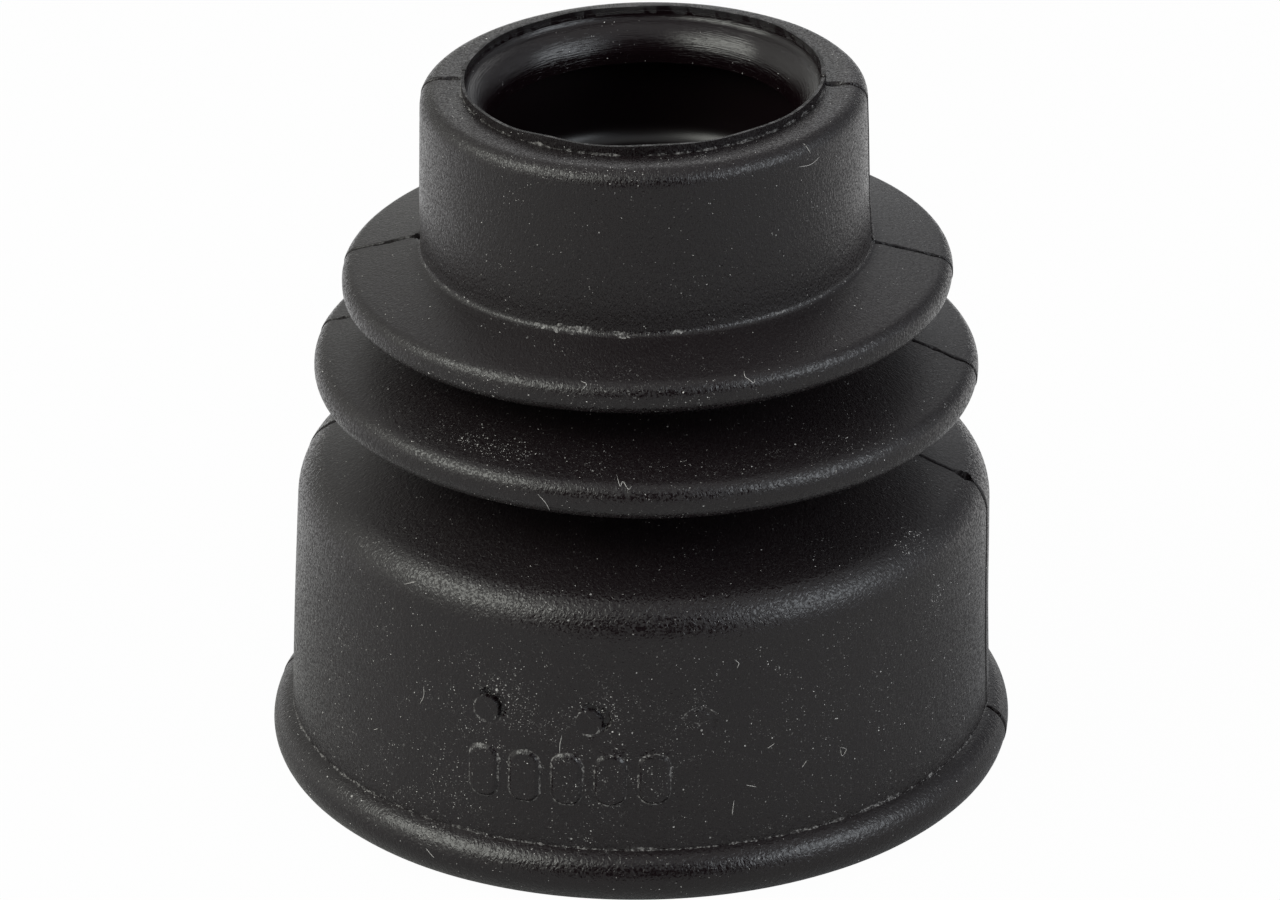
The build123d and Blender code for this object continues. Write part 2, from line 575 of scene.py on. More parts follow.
# Torn stretches: side, where they start and end along the section, half their width, depth
tears = (
    (-1, 1.1, 2.9, 0.26, 0.5),
    (-1, 3.4, 7.0, 0.14, 0.5),
    (-1, 20.6, 23.6, 0.55, 0.7),
    (-1, 25.2, 27.8, 0.2, 0.45),
    (-1, 52.2, 53.9, 0.24, 0.45),
    (-1, 81.6, 86.6, 0.2, 0.5),
    (1, 1.1, 2.8, 0.34, 0.6),
    (1, 12.5, 22.6, 0.14, 0.4),
    (1, 22.4, 23.4, 0.2, 0.3),
    (1, 30.2, 31.6, 0.12, 0.3),
    (1, 82.3, 84.0, 0.6, 0.7),
    (1, 112.2, 114.6, 0.22, 0.5),
)


def split_relief(across, along, seed):
    """A fine split that is deeper and wider in places."""
    depth, depth_change, half_width, width_change, changes = 0.5, 0.12, 0.12, 0.05, 1.1
    ragged = lattice_noise(along * changes, 0, seed)
    return (depth + depth_change * ragged) * bump_at(across, 0, half_width + width_change * ragged)


def tear_relief(across, along, side):
    """The torn stretches of one side, with ragged edges."""
    edge_width, ragged_share, ragged_length, side_shift, seed = 0.07, 0.45, 0.35, 3, 6
    relief = np.zeros_like(along)
    for tear_side, start, end, half_width, depth in tears:
        if tear_side == side:
            middle, half_length = (start + end) / 2, (end - start) / 2
            taper = np.clip(1 - ((along - middle) / half_length) ** 2, 0, 1) ** 0.5
            noise_up = np.sign(across) * side_shift
            ragged = 1 + ragged_share * lattice_noise(along / ragged_length, noise_up, seed)
            room = half_width * taper * ragged - np.abs(across)
            torn = depth * smooth_step(-edge_width, edge_width, room) * (taper > 0)
            relief = np.maximum(relief, torn)
    return relief


def mismatch_relief(across, side):
    """The back half of the moulding stands a little proud of the front half at the line."""
    step, edge_width, fading = 0.09, 0.1, 6.0
    behind = side * across
    return step * smooth_step(0, edge_width, behind) * np.exp(-np.clip(behind, 0, None) / fading)


def seam_relief(azimuth, radius, height, along):
    """The parting line: a fine split, its torn stretches, and the notches in the rim."""
    wander_reach, wanders, cut_reach, rim_slack, lip_slack = 0.12, 0.45, 3, 0.05, 0.01
    wedge_edge, wedge_floor, wedge_tip = -0.12, 0.06, -0.02
    relief = np.zeros_like(azimuth)
    for side, seed in seam_seeds.items():
        wander = wander_reach * lattice_noise(along * wanders, 0, seed + 1)
        across = np.radians(azimuth - seam_azimuths[side]) * radius - wander
        near = np.abs(across) < cut_reach
        on_rim = (height > rim_height - rim_slack) & (radius > lip_radius + lip_slack)
        wedge = notch_width / 2 * (1 - (radius - lip_radius) / notch_length)
        cut = smooth_step(wedge_edge, wedge_floor, wedge - np.abs(across)) * (wedge > wedge_tip)
        deepest = np.maximum(split_relief(across, along, seed), tear_relief(across, along, side))
        relief -= near * np.maximum(deepest, notch_depth * cut * on_rim)
        relief += mismatch_relief(across, side)
    return relief


# -------- soft shape

lower_twist, upper_twist = 1.7, 5.3
lower_tilt, upper_tilt = -0.013, 0.013

# Bends of the soft boot, in steps: the heights between which each grows, and its size. The boot
# leans to the camera's right, its rings turn, and they rise toward the camera's right
between_folds = (lower_fold.rim_high, upper_fold.rim_low)
leans = ((0, 60.0, 1.15), (56.0, 66.0, -0.2))
twists = (
    (shoulder_top, lower_fold.rim_low, lower_twist),
    (*between_folds, upper_twist - lower_twist),
)
tilts = ((bead_rounding, skirt_height, lower_tilt), (*between_folds, upper_tilt - lower_tilt))


def bend_at(height, steps):
    """How large a bend is at a height."""
    return sum(size * smooth_step(low, high, height) for low, high, size in steps)


def lip_wave(azimuth):
    """How the trimmed lip's height varies round the mouth."""
    rise, wave, slow_waves, slow_shift, quick_waves = 0.12, 0.05, 3, 1, 11
    kink_azimuth, kink_reach, kink_rise = -28.0, 9.0, 0.17
    turn = np.radians(azimuth)
    waves = rise + wave * np.sin(slow_waves * turn + slow_shift) + wave * np.sin(quick_waves * turn)
    return waves + kink_rise * bump_at(azimuth, kink_azimuth, kink_reach)


def surface_relief(azimuth, radius, height, along, outside):
    """Relief of the outside along its normal, at each place of the skin."""
    swell_depth, swell_turns, swell_length, foot_height = 0.05, 3.0, 9.0, 1.2
    turn = np.radians(azimuth)
    marks = (pin_relief(azimuth, height) + pad_relief_at(azimuth, height)) * on_marked_band(height)
    swell = swell_depth * lattice_noise(
        swell_turns * np.sin(turn) + height / swell_length,
        swell_turns * np.cos(turn) + radius / swell_length, 1,
    )
    raised = marks + seam_relief(azimuth, radius, height, along) + swell
    return outside * smooth_step(0, foot_height, height) * raised


def placed(azimuth, row, lift=0.0):
    """The skin's points in metres, at each azimuth and row, or points that float above it."""
    even_lip_height = 0.4
    row = np.mod(row, section.count)
    radius, height, along, outside = section.at(row, "radius", "height", "along", "outside")
    out, up = section.at(row, "normal_out", "normal_up")
    relief = lift + surface_relief(azimuth, radius, height, along, outside)
    on_lip = smooth_step(rim_height + even_lip_height, rim_height + lip_height, height)
    twisted = np.radians(azimuth + bend_at(height, twists))
    radius = radius + relief * out
    height = height + relief * up + on_lip * lip_wave(azimuth)
    lean, lean_turn = bend_at(height, leans), radians(camera_azimuth)
    x = radius * np.sin(twisted) + lean * cos(lean_turn)
    y = -radius * np.cos(twisted) + lean * sin(lean_turn)
    height = height + bend_at(height, tilts) * radius * np.sin(twisted - lean_turn)
    return np.column_stack([x, y, height]) * MM


# -------- masks

def gloss_mask(radius, height, outside):
    """Where polished steel left the rubber smooth: inside, and less so on the seat and the bead."""
    inside_gloss, seat_gloss, bead_gloss, slack, fade = 1.0, 0.5, 0.4, 0.1, 0.3
    seat = (height > seat_floor - slack) & (height < seat_top) & (radius > ledge_radius + slack)
    bead_top = bead_crease()[1]
    bead = smooth_step(bead_top + fade, bead_top - fade, height) * bead_gloss
    return np.where(outside > 0.5, bead, np.where(seat, seat_gloss, inside_gloss))


def grain_mask(radius, up, outside):
    """How deep the grain is: full on walls and roundings, less on flanks, and none inside."""
    flank_grain, flank_from, flank_full = 0.85, 0.86, 0.92
    flank = smooth_step(flank_from, flank_full, up) * (radius > root_radius)
    return outside * (1 - (1 - flank_grain) * flank)


# Dust patches: azimuth and reach, place along the section and reach, and how thick they are
dust_patches = (
    (-18, 20, 4.8, 1.1, 0.7),
    (0, 14, 28.5, 2.2, 0.55),
    (-15, 32, 33.0, 1.8, 0.75),
    (-36, 16, 35.0, 0.8, 1.4),
    (-22, 19, 51.8, 2.8, 1.3),
    (45, 40, 52.8, 2.4, 0.45),
    (-10, 40, 58.9, 0.7, 0.7),
    (62.5, 5, 83.6, 1.7, 1.8),
    (66, 4, 91.0, 5.5, 1.0),
    (-8, 30, 98.4, 7.0, 0.55),
    (-11, 8, 95.4, 3.0, 0.4),
    (-30, 20, 110.0, 3.5, 0.8),
)


def pin_dust(azimuth, height):
    """Dust about the pin marks: thick beyond their torn sides, and none on their spots."""
    gain, beyond, reach, edge = 2, 0.6, 1.2, 0.15
    thick, clean = np.zeros_like(azimuth), np.ones_like(azimuth)
    for depth, across, up in pin_places(azimuth, height):
        away = np.hypot(across, up) - pin_radius
        thick += gain * depth * opening_share(across, up) * bump_at(away, beyond, reach)
        if depth > least_torn_depth:
            clean *= smooth_step(-edge, edge, spot_distance(across, up))
    return thick, clean


def dust_mask(azimuth, radius, height, along, outside):
    """How thickly the dust lies: from 0 to 1, and above 1 where its specks are bright too."""
    thickest, outer_dust, skirt_dust, rim_dust, throat_dust = 1.5, 0.18, 0.25, 0.2, 0.08
    skirt_foot, skirt_head, rim_drop, lip_gap = (5, 8), (28, 31), 0.5, 0.2
    on_skirt = smooth_step(*skirt_foot, height) * (1 - smooth_step(*skirt_head, height))
    on_rim = (height > rim_height - rim_drop) * (radius > lip_radius + lip_gap)
    level = outer_dust + skirt_dust * on_skirt + rim_dust * on_rim
    for middle, reach, place, place_reach, thickness in dust_patches:
        level += thickness * bump_at(azimuth, middle, reach) * bump_at(along, place, place_reach)
    thick, clean = pin_dust(azimuth, height)
    cleaned = np.clip(level + thick, 0, thickest) * clean
    return np.where(outside > 0.5, cleaned, throat_dust * (height > seat_top))


def crease_closeness(azimuth, radius, height):
    """How far each place lies from the creases along which pale lines are drawn, in widths of its
    line: dust by the collar's foot and the lip, and a pale line along the bead's crease.
    """
    collar_line, bead_line, lip_line = 0.07, 0.06, 0.016
    collar_out, collar_up = 0.2, 0.25
    clump_width, clump_azimuth, clump_reach = 0.16, -8, 16
    crease_radius, crease_height, _ = bead_crease()
    clump = clump_width * bump_at(azimuth, clump_azimuth, clump_reach)
    spots = (
        (collar_foot_radius + collar_out, upper_fold.head + collar_up, collar_line + clump),
        # A pale line drawn along the bead's crease.
        (crease_radius, crease_height, bead_line),
        (lip_radius, rim_height, lip_line),
    )
    ratios = [np.hypot(radius - spot[0], height - spot[1]) / spot[2] for spot in spots]
    return np.minimum(np.min(ratios, axis=0), farthest)


def wrapped_place(azimuth, along):
    """Places for the grain, even round the boot and along its section, in metres."""
    wrap_radius = 30.0
    turn = np.radians(azimuth)
    return np.column_stack([wrap_radius * np.sin(turn), -wrap_radius * np.cos(turn), along]) * MM


def store_masks(mesh, azimuth, row):
    """Stores on the skin's points what its material reads."""
    radius, height, up, along, outside = section.at(
        row, "radius", "height", "normal_up", "along", "outside",
    )
    masks = {
        "gloss": gloss_mask(radius, height, outside),
        "dust": dust_mask(azimuth, radius, height, along, outside),
        "grain": grain_mask(radius, up, outside),
        "crease": crease_closeness(azimuth, radius, height),
        # Outlines along which pale lines are drawn: dust, and painted highlights on the marks'
        # edges.
        "outline": glint_and_dust_outline_distance(azimuth, height),
    }
    for name, values in masks.items():
        mask = mesh.attributes.new(name, "FLOAT", "POINT")
        mask.data.foreach_set("value", values.astype(np.float32))
    places = mesh.attributes.new("wrapped", "FLOAT_VECTOR", "POINT")
    places.data.foreach_set("vector", wrapped_place(azimuth, along).ravel().astype(np.float32))


# -------- materials

def new_material(name):
    """A new material, with its node tree and its Principled shader."""
    material = bpy.data.materials.new(name)
    material.use_nodes = True
    tree = material.node_tree
    return material, tree, tree.nodes["Principled BSDF"]


def grey(level):
    return level, level, level, 1


def feed(tree, fed, values):
    """Sets a node's inputs, by name or number, to values, or links other nodes' sockets to them."""
    for name, value in values.items():
        if isinstance(value, bpy.types.NodeSocket):
            tree.links.new(value, fed.inputs[name])
        else:
            fed.inputs[name].default_value = value


def node(tree, kind, **settings):
    """A new node, whose settings feed the inputs of their names or else set its properties."""
    made = tree.nodes.new(kind)
    for name, value in settings.items():
        if name in made.inputs:
            feed(tree, made, {name: value})
        else:
            setattr(made, name, value)
    return made


def math(tree, operation, result, *others, clamp=False):
    """An operation on sockets or numbers, a node for each after the first; returns its output."""
    for other in others or (0.0,):
        made = node(tree, "ShaderNodeMath", operation=operation, use_clamp=clamp)
        feed(tree, made, {0: result, 1: other})
        result = made.outputs[0]
    return result


def vector_math(tree, operation, first, second):
    """A math node over two vectors; returns its outputs."""
    made = node(tree, "ShaderNodeVectorMath", operation=operation)
    feed(tree, made, {0: first, 1: second})
    return made.outputs


def attribute(tree, name):
    return node(tree, "ShaderNodeAttribute", attribute_name=name).outputs["Fac"]


def noise(tree, place, feature, detail, roughness=0.5, distortion=0.0):
    """Noise from 0 to 1 with features of a size in millimetres."""
    made = node(
        tree, "ShaderNodeTexNoise", Vector=place, Scale=1 / (feature * MM),
        Detail=detail, Roughness=roughness, Distortion=distortion,
    )
    return made.outputs["Fac"]


def stretched(tree, place, stretch):
    """Places scaled so that what is drawn on them grows along the third axis."""
    return vector_math(tree, "MULTIPLY", place, (1, 1, 1 / stretch))["Vector"]


def shifted(tree, place, feature, reach):
    """Places pushed about by noise, so that what is drawn on them gets ragged outlines."""
    stir = node(tree, "ShaderNodeTexNoise", Vector=place, Scale=1 / (feature * MM), Detail=1.0)
    push = node(
        tree, "ShaderNodeVectorMath", operation="SCALE",
        Vector=stir.outputs["Color"], Scale=2 * reach * MM,
    )
    return vector_math(tree, "ADD", place, push.outputs["Vector"])["Vector"]


def mixed(tree, kind, share, first, second):
    """The first value or colour where the share is 0, and the second where it is 1."""
    low, high, result = {"FLOAT": (2, 3, 0), "RGBA": (6, 7, 2)}[kind]
    made = node(tree, "ShaderNodeMix", data_type=kind, Factor=share)
    feed(tree, made, {low: first, high: second})
    return made.outputs[result]


def ramp(tree, value, source, target=(0.0, 1.0)):
    """A value carried smoothly from one range to another; returns its socket."""
    made = node(tree, "ShaderNodeMapRange", interpolation_type="SMOOTHSTEP", Value=value)
    limits = ("From Min", "From Max", "To Min", "To Max")
    feed(tree, made, dict(zip(limits, (*source, *target))))
    return made.outputs["Result"]


def specks(tree, place, cell, speck, density, rarity):
    """Specks, at most one to a cell; the higher the rarity, the fewer of them are bright."""
    faintest = 0.05
    cells = node(tree, "ShaderNodeTexVoronoi", Vector=place, Scale=1 / (cell * MM)).outputs
    draw = node(tree, "ShaderNodeSeparateColor", Color=cells["Color"]).outputs
    size = math(tree, "MULTIPLY", draw["Green"], speck / cell)
    inside = math(tree, "GREATER_THAN", size, cells["Distance"])
    kept = math(tree, "LESS_THAN", draw["Red"], density)
    bright = math(tree, "ADD", math(tree, "POWER", draw["Blue"], rarity), faintest)
    return math(tree, "MULTIPLY", inside, kept, bright)


def hairs(tree, place, density):
    """Short faint curls: stretches of the lines along which a noise has its middle value."""
    curl_feature, half_width, level = 1.1, 0.006, 0.12
    stir_feature, stir_reach, stretch_feature, stretch_level = 3.0, 20.0, 0.7, 0.66
    from_middle = math(tree, "SUBTRACT", noise(tree, place, curl_feature, detail=1.0), 0.5)
    on_line = math(tree, "LESS_THAN", math(tree, "ABSOLUTE", from_middle), half_width)
    stirred = shifted(tree, place, stir_feature, stir_reach)
    stirred = noise(tree, stirred, stretch_feature, detail=0.0)
    on_stretch = math(tree, "GREATER_THAN", stirred, stretch_level)
    return math(tree, "MULTIPLY", on_line, on_stretch, density, level)


def loose_dust(tree, place):
    """How much of the rubber the loose specks and curls hide."""
    thick_range, rarities, hair_gain = (1.0, 1.4), (6.0, 1.6), 2.0
    cloud_feature, cloud_range, cloud_levels = 4.0, (0.42, 0.6), (0.12, 1.1)
    ragged_feature, ragged_reach = 0.12, 0.05
    # Layers of specks: size of a cell, size of a speck, and share of the dust's density
    layers = ((0.17, 0.055, 1.0), (0.36, 0.085, 0.9), (0.9, 0.14, 0.6))
    dust = attribute(tree, "dust")
    cloud = noise(tree, place, cloud_feature, detail=4.0)
    cloud = ramp(tree, cloud, cloud_range, cloud_levels)
    cloud = math(tree, "MAXIMUM", cloud, ramp(tree, dust, thick_range))
    rarity = ramp(tree, dust, thick_range, rarities)
    density = math(tree, "MULTIPLY", dust, cloud)
    ragged = shifted(tree, place, ragged_feature, ragged_reach)
    hair_density = math(tree, "MINIMUM", math(tree, "MULTIPLY", dust, hair_gain), 1.0)
    covers = [hairs(tree, place, hair_density)]
    for cell, speck, share in layers:
        thinned = math(tree, "MULTIPLY", density, share)
        covers.append(specks(tree, ragged, cell, speck, thinned, rarity))
    return math(tree, "MAXIMUM", *covers)


def settled_dust_and_glints(tree, place):
    """How much of the rubber the broken pale lines in creases and along outlines hide: dust in the
    creases but the bead's, a pale line there, and along the outlines dust with painted highlights
    on the edges.
    """
    outline_width, break_feature, break_level, break_gain = 0.06, 1.3, 0.43, 14.0
    bright_feature, bright_range, bright_levels = 0.3, (0.42, 0.75), (0.02, 0.4)
    # The outline mask carries dust and painted highlights on the pads' and pin marks' edges.
    from_outline = math(tree, "ABSOLUTE", attribute(tree, "outline"))
    from_outline = math(tree, "DIVIDE", from_outline, outline_width)
    broken = noise(tree, place, break_feature, detail=4.0, roughness=0.6)
    uneven = math(tree, "MULTIPLY", math(tree, "SUBTRACT", broken, break_level), break_gain)
    nearest = math(tree, "MINIMUM", attribute(tree, "crease"), from_outline)
    settled = math(tree, "LESS_THAN", nearest, uneven)
    bright = noise(tree, place, bright_feature, detail=3.0)
    bright = ramp(tree, bright, bright_range, bright_levels)
    return math(tree, "MULTIPLY", settled, bright)


def rubber_material():
    """Black moulded rubber: grained outside, smooth but scuffed inside, and dusty, with painted
    highlights along the pads' and pin marks' edges.
    """
    black_low, black_high = (0.0035, 0.0012, 0.002, 1), (0.0056, 0.0026, 0.0034, 1)
    black_feature, dust_and_glint_color, rubber_ior = 9.0, (0.75, 0.73, 0.71, 1), 1.5
    rough_feature, rough_range, rough_levels = 0.25, (0.38, 0.66), (0.2, 0.58)
    rough_flank, rough_inside, rough_dust_and_glint, flank_contrast = 0.48, 0.15, 0.5, 8.0
    grain_feature, grain_stretch, grain_depth, grain_swirl = 0.3, 1.5, 0.09, 0.8
    scuff_feature, scuff_stretch, scuff_depth, polished_gloss = 4.0, 0.03, 0.6, 0.6
    material, tree, shader = new_material("black_rubber")
    place = node(tree, "ShaderNodeTexCoord").outputs["Object"]
    wrapped = node(tree, "ShaderNodeAttribute", attribute_name="wrapped").outputs["Vector"]
    gloss, grain_share = attribute(tree, "gloss"), attribute(tree, "grain")
    # Pale cover: dust, and along the marks' outlines painted highlights on their edges.
    dust_and_glint_cover = math(tree, "MAXIMUM", loose_dust(tree, place), settled_dust_and_glints(tree, place))

    patchy = noise(tree, place, black_feature, detail=3.0)
    black = mixed(tree, "RGBA", patchy, black_low, black_high)
    # The pale colour paints both dust and the marks' edge highlights.
    color = mixed(tree, "RGBA", dust_and_glint_cover, black, dust_and_glint_color)

    grained = noise(tree, wrapped, rough_feature, detail=1.0)
    grained = ramp(tree, grained, rough_range, rough_levels)
    on_walls = math(tree, "POWER", grain_share, flank_contrast)
    outside = mixed(tree, "FLOAT", on_walls, rough_flank, grained)
    rough = mixed(tree, "FLOAT", gloss, outside, rough_inside)
    rough = math(tree, "ADD", rough, math(tree, "MULTIPLY", dust_and_glint_cover, rough_dust_and_glint), clamp=True)

    pebbles = stretched(tree, wrapped, grain_stretch)
    pebbles = noise(tree, pebbles, grain_feature, detail=1.5, distortion=grain_swirl)
    pebbles = math(tree, "MULTIPLY", pebbles, grain_share)
    scuffs = stretched(tree, wrapped, scuff_stretch)
    scuffs = noise(tree, scuffs, scuff_feature, detail=3.0)
    scuffs = math(tree, "MULTIPLY", scuffs, scuff_depth)
    polished = math(tree, "GREATER_THAN", gloss, polished_gloss)
    height = mixed(tree, "FLOAT", polished, pebbles, scuffs)
    bump = node(tree, "ShaderNodeBump", Strength=1.0, Distance=grain_depth * MM, Height=height)

    feed(tree, shader, {"Base Color": color, "Roughness": rough, "IOR": rubber_ior})
    feed(tree, shader, {"Normal": bump.outputs["Normal"]})
    return material


def lint_material():
    """Pale lint, as thin threads."""
    lint_color, lint_roughness = (0.55, 0.53, 0.51, 1), 0.8
    material, tree, shader = new_material("pale_lint")
    feed(tree, shader, {"Base Color": lint_color, "Roughness": lint_roughness})
    return material


# -------- lint

# Each fibre: spots that it passes over, as azimuth and place along the section
fibres = (
    ((-10.3, 56.5), (-8.9, 57.4), (-8.4, 58.4)),
    ((2.6, 53.3), (3.5, 54.9), (3.9, 54.3), (4.9, 55.2), (5.5, 54.9)),
    ((-8.0, 30.4), (-6.8, 30.7), (-7.4, 31.3)),
    ((-27.9, 96.9), (-27.8, 98.0), (-28.6, 99.1)),
    ((-32.8, 86.3), (-31.0, 85.7)),
    ((-38.9, 104.5), (-37.9, 104.1)),
    ((-3.1, 99.1), (-3.4, 100.2), (-3.4, 101.2)),
    ((-24.7, 115.2), (-23.1, 116.0)),
    ((24.4, 90.5), (25.1, 91.0), (24.8, 91.5)),
    ((30.2, 101.4), (31.3, 101.0)),
    ((36.2, 104.5), (37.0, 103.9)),
    ((26.6, 105.3), (28.3, 105.7)),
    ((24.6, 106.9), (24.3, 108.6)),
    ((43.3, 103.4), (44.5, 103.9), (43.7, 104.5), (43.3, 103.4)),
    ((50.6, 5.0), (51.6, 6.3)),
    ((47.2, 7.2), (51.5, 7.5), (55.4, 7.1)),
    ((23.1, 30.0), (22.9, 30.7), (23.5, 31.1), (24.2, 31.5), (24.6, 31.2)),
)


def smooth_run(spots, parts):
    """Points of a smooth curve through the spots."""
    spots = np.array(spots, dtype=float)
    padded = np.vstack([2 * spots[0] - spots[1], spots, 2 * spots[-1] - spots[-2]])
    run = []
    for before, first, last, after in zip(padded, padded[1:], padded[2:], padded[3:]):
        for share in np.arange(parts) / parts:
            run.append(
                first + (last - before) * share / 2
                + (2 * before - 5 * first + 4 * last - after) * share ** 2 / 2
                + (3 * first - before - 3 * last + after) * share ** 3 / 2
            )
    return np.array(run + [spots[-1]])


def add_tube(mesh, path, thickness):
    """A thin closed tube along a path, tapering to its ends."""
    sides, end_share, taper = 5, 0.35, 6
    ahead = np.gradient(path, axis=0)
    ahead /= np.linalg.norm(ahead, axis=1)[:, None]
    rings = []
    for index, (point, along) in enumerate(zip(path, ahead)):
        along = Vector(along)
        across = along.orthogonal().normalized()
        share = index / (len(path) - 1)
        reach = thickness / 2 * max(end_share, min(1, taper * share, taper * (1 - share)))
        turns = [Matrix.Rotation(2 * pi * k / sides, 3, along) for k in range(sides)]
        rings.append([mesh.verts.new(Vector(point) + turn @ across * reach) for turn in turns])
    for low, high in zip(rings, rings[1:]):
        for k in range(sides):
            mesh.faces.new((low[k], low[(k + 1) % sides], high[(k + 1) % sides], high[k]))
    mesh.faces.new(rings[0][::-1])
    mesh.faces.new(rings[-1])


def make_lint(material):
    """Lint fibres that lie on the outside, as one mesh of thin tubes."""
    thickness, lift, parts = 0.055, 0.03, 6
    shape = bmesh.new()
    for spots in fibres:
        run = smooth_run(spots, parts)
        path = placed(run[:, 0], np.interp(run[:, 1], section.along, section.rows), lift)
        add_tube(shape, path, thickness * MM)
    bmesh.ops.recalc_face_normals(shape, faces=shape.faces)
    return added_shape("lint_fibres", shape, material)


# -------- boot

def make_skin(material):
    """The boot's whole surface, inside and out, as one closed mesh."""
    mesh = refined_grid()
    grid = np.zeros(len(mesh.vertices) * 3)
    mesh.vertices.foreach_get("co", grid)
    azimuth, row, _ = grid.reshape(-1, 3).T
    mesh.vertices.foreach_set("co", placed(azimuth, row).ravel())
    store_masks(mesh, azimuth, row)
    close_skin(mesh)
    mesh.materials.append(material)
    return added_object("boot_skin", mesh)


def close_skin(mesh):
    """Joins the grid's meeting edges, turns its faces outward and sets its sharp edges."""
    weld_distance, sharp_angle = 0.002 * MM, radians(38)
    skin = bmesh.new()
    skin.from_mesh(mesh)
    bmesh.ops.remove_doubles(skin, verts=skin.verts, dist=weld_distance)
    bmesh.ops.recalc_face_normals(skin, faces=skin.faces)
    for face in skin.faces:
        face.smooth = True
    for edge in skin.edges:
        edge.smooth = edge.calc_face_angle(pi) < sharp_angle
    skin.to_mesh(mesh)
    skin.free()


# -------- studio

def camera_frame():
    """The camera's right, up and back directions, and the point that it looks at."""
    elevation, roll = radians(camera_elevation), radians(camera_roll)
    back = Vector((0, -cos(elevation), sin(elevation)))
    level = Vector((1, 0, 0))
    upright = back.cross(level)
    right = level * cos(roll) + upright * sin(roll)
    up = upright * cos(roll) - level * sin(roll)
    target = Vector((camera_target_right, 0, camera_target_height))
    turn = Matrix.Rotation(radians(camera_azimuth), 3, "Z")
    return turn @ right, turn @ up, turn @ back, turn @ target


def make_camera():
    clip_near, clip_far = 10.0, 20000.0
    right, up, back, target = camera_frame()
    data = bpy.data.cameras.new("camera")
    data.lens = focal_length_pixels / photo_width_pixels * sensor_width
    data.sensor_width = sensor_width
    data.clip_start, data.clip_end = clip_near * MM, clip_far * MM
    camera = added_object("camera", data)
    spot = (target + back * camera_distance) * MM
    camera.matrix_world = Matrix.Translation(spot) @ Matrix((right, up, back)).transposed().to_4x4()
    bpy.context.scene.camera = camera


def toward(azimuth, elevation):
    """The unit direction at an azimuth seen from the camera, with negative ones on its left."""
    turn, rise = radians(azimuth + camera_azimuth), radians(elevation)
    return Vector((sin(turn) * cos(rise), -cos(turn) * cos(rise), sin(rise)))


def floor_material():
    """A white floor that still takes the object's shadow, and glows brighter behind the boot for
    reflections only: painted light on the floor.
    """
    floor_level, floor_roughness, glow_seen = 0.5, 0.9, 0.98
    painted_glow_azimuth, reach_range, glow_levels = -178, (0.0, 0.09), (0.08, 0.95)
    material, tree, shader = new_material("white_floor")
    feed(tree, shader, {"Base Color": grey(floor_level), "Roughness": floor_roughness})
    feed(tree, shader, {"Specular IOR Level": 0})
    glow = node(tree, "ShaderNodeEmission", Strength=1.0)
    rays = node(tree, "ShaderNodeLightPath").outputs
    place = node(tree, "ShaderNodeTexCoord").outputs["Object"]
    # Painted light: the floor glows brighter behind the boot, seen only by glossy rays.
    glow_reflected = ramp(tree, facing(tree, place, painted_glow_azimuth, 0), reach_range, glow_levels)
    levels = {"Camera": glow_seen, "Glossy": glow_reflected, "Transmission": glow_seen}
    shares = [
        math(tree, "MULTIPLY", rays[f"Is {kind} Ray"], level) for kind, level in levels.items()
    ]
    share = math(tree, "MAXIMUM", *shares)
    blend = node(tree, "ShaderNodeMixShader")
    feed(tree, blend, {0: share, 1: shader.outputs[0], 2: glow.outputs[0]})
    feed(tree, tree.nodes["Material Output"], {"Surface": blend.outputs[0]})
    return material


def make_floor():
    floor_radius, floor_sides, floor_drop = 4000.0, 96, 0.02
    shape = bmesh.new()
    bmesh.ops.create_circle(
        shape, cap_ends=True, segments=floor_sides, radius=floor_radius * MM,
    )
    floor = added_shape("floor", shape, floor_material())
    floor.location.z = -floor_drop * MM
    floor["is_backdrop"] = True


def make_softbox(name, azimuth, elevation, width, height, power, color):
    """A rectangular lamp that faces the boot."""
    distance = 900.0
    data = bpy.data.lights.new(name, "AREA")
    data.shape = "RECTANGLE"
    data.size, data.size_y, data.energy, data.color = width * MM, height * MM, power, color
    back = toward(azimuth, elevation)
    lamp = added_object(name, data)
    lamp.location = (back * distance + Vector((0, 0, camera_target_height))) * MM
    lamp.rotation_euler = back.to_track_quat("Z", "Y").to_euler()


def facing(tree, direction, azimuth, elevation):
    """How far a vector reaches toward a place in the studio: from -1 to 1 for a direction."""
    return vector_math(tree, "DOT_PRODUCT", direction, toward(azimuth, elevation))["Value"]


def patch(tree, direction, azimuth, elevation, inner, outer):
    """A round patch of the studio: 1 inside its inner angle and 0 beyond its outer one."""
    limits = (cos(radians(outer)), cos(radians(inner)))
    return ramp(tree, facing(tree, direction, azimuth, elevation), limits)


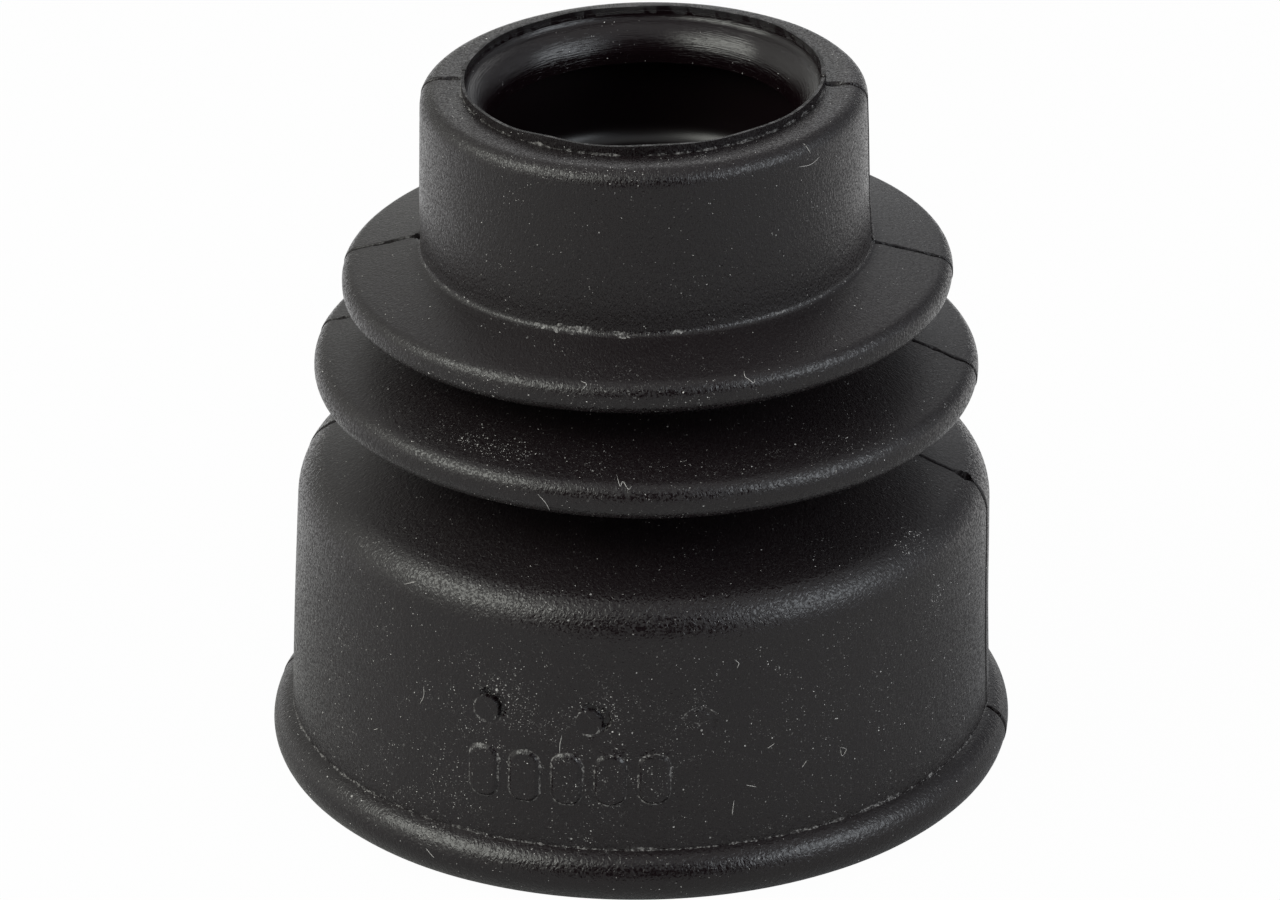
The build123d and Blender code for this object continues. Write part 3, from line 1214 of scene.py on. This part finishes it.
def wall_level(tree, direction, levels):
    """The studio's walls, from levels listed by azimuth: warm on the left, cool on the right."""
    left_tint, right_tint = (0.99, 1.01, 0.965), (0.95, 0.985, 1.02)
    azimuth = math(tree, "ARCTAN2", facing(tree, direction, 90, 0), facing(tree, direction, 0, 0))
    place_seen = math(tree, "ADD", math(tree, "MULTIPLY", azimuth, 1 / (2 * pi)), 0.5)
    made = node(tree, "ShaderNodeValToRGB", Fac=place_seen)
    made.color_ramp.interpolation = "EASE"
    stops = made.color_ramp.elements
    for index, (turn, level) in enumerate(levels):
        place = turn / 360 + 0.5
        stop = stops[index] if index < len(stops) else stops.new(place)
        tint = left_tint if turn < 0 else right_tint
        stop.position, stop.color = place, (*(level * share for share in tint), 1)
    return made.outputs["Color"]


def make_world():
    """A studio whose walls differ all round, and that the camera itself sees as white."""
    wall_levels = (
        (-180, 0.78), (-150, 0.45), (-115, 0.75), (-85, 0.9), (-40, 0.7), (0, 0.55),
        (40, 0.66), (80, 0.72), (108, 0.5), (140, 0.26), (165, 0.42), (180, 0.78),
    )
    # Dim ceiling, bright patch behind the boot, and dark patch about the camera: azimuth,
    # elevation, inner and outer angle, level
    patches = ((0, 90, 24, 40, 0.57), (176, 38, 8, 26, 1.3), (0, 12, 24, 42, 0.04))
    white = 1.0
    world = bpy.data.worlds.new("studio")
    bpy.context.scene.world = world
    world.use_nodes = True
    tree = world.node_tree
    direction = node(tree, "ShaderNodeTexCoord").outputs["Generated"]
    shown = wall_level(tree, direction, wall_levels)
    for *place, level in patches:
        shown = mixed(tree, "RGBA", patch(tree, direction, *place), shown, grey(level))
    rays = node(tree, "ShaderNodeLightPath").outputs
    shown = mixed(tree, "RGBA", rays["Is Camera Ray"], shown, grey(white))
    feed(tree, tree.nodes["Background"], {"Color": shown})


def make_studio():
    # Lamps: azimuth, elevation, width, height, power and colour
    softboxes = {
        "softbox_left": (-66, 39, 740, 470, 5.0, (0.98, 1.0, 0.93)),
        "softbox_right": (59, 28, 660, 420, 2.8, (0.89, 0.95, 1.0)),
    }
    make_world()
    make_floor()
    for name, values in softboxes.items():
        make_softbox(name, *values)
    make_camera()
    bpy.context.scene.view_settings.view_transform = "Standard"


def write_sizes():
    """The CAD box and the visual model's box, gathered as plain lists; they are neither compared
    nor written out.
    """
    boxes = {"cad": cad_bounds, "visual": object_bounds()}
    plain = {name: [list(corner) for corner in box] for name, box in boxes.items()}


make_studio()
boot_skin = make_skin(rubber_material())
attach(boot_skin, "root")
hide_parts("bellows_boot")
lint_fibres = make_lint(lint_material())
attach(lint_fibres, "root")
write_sizes()
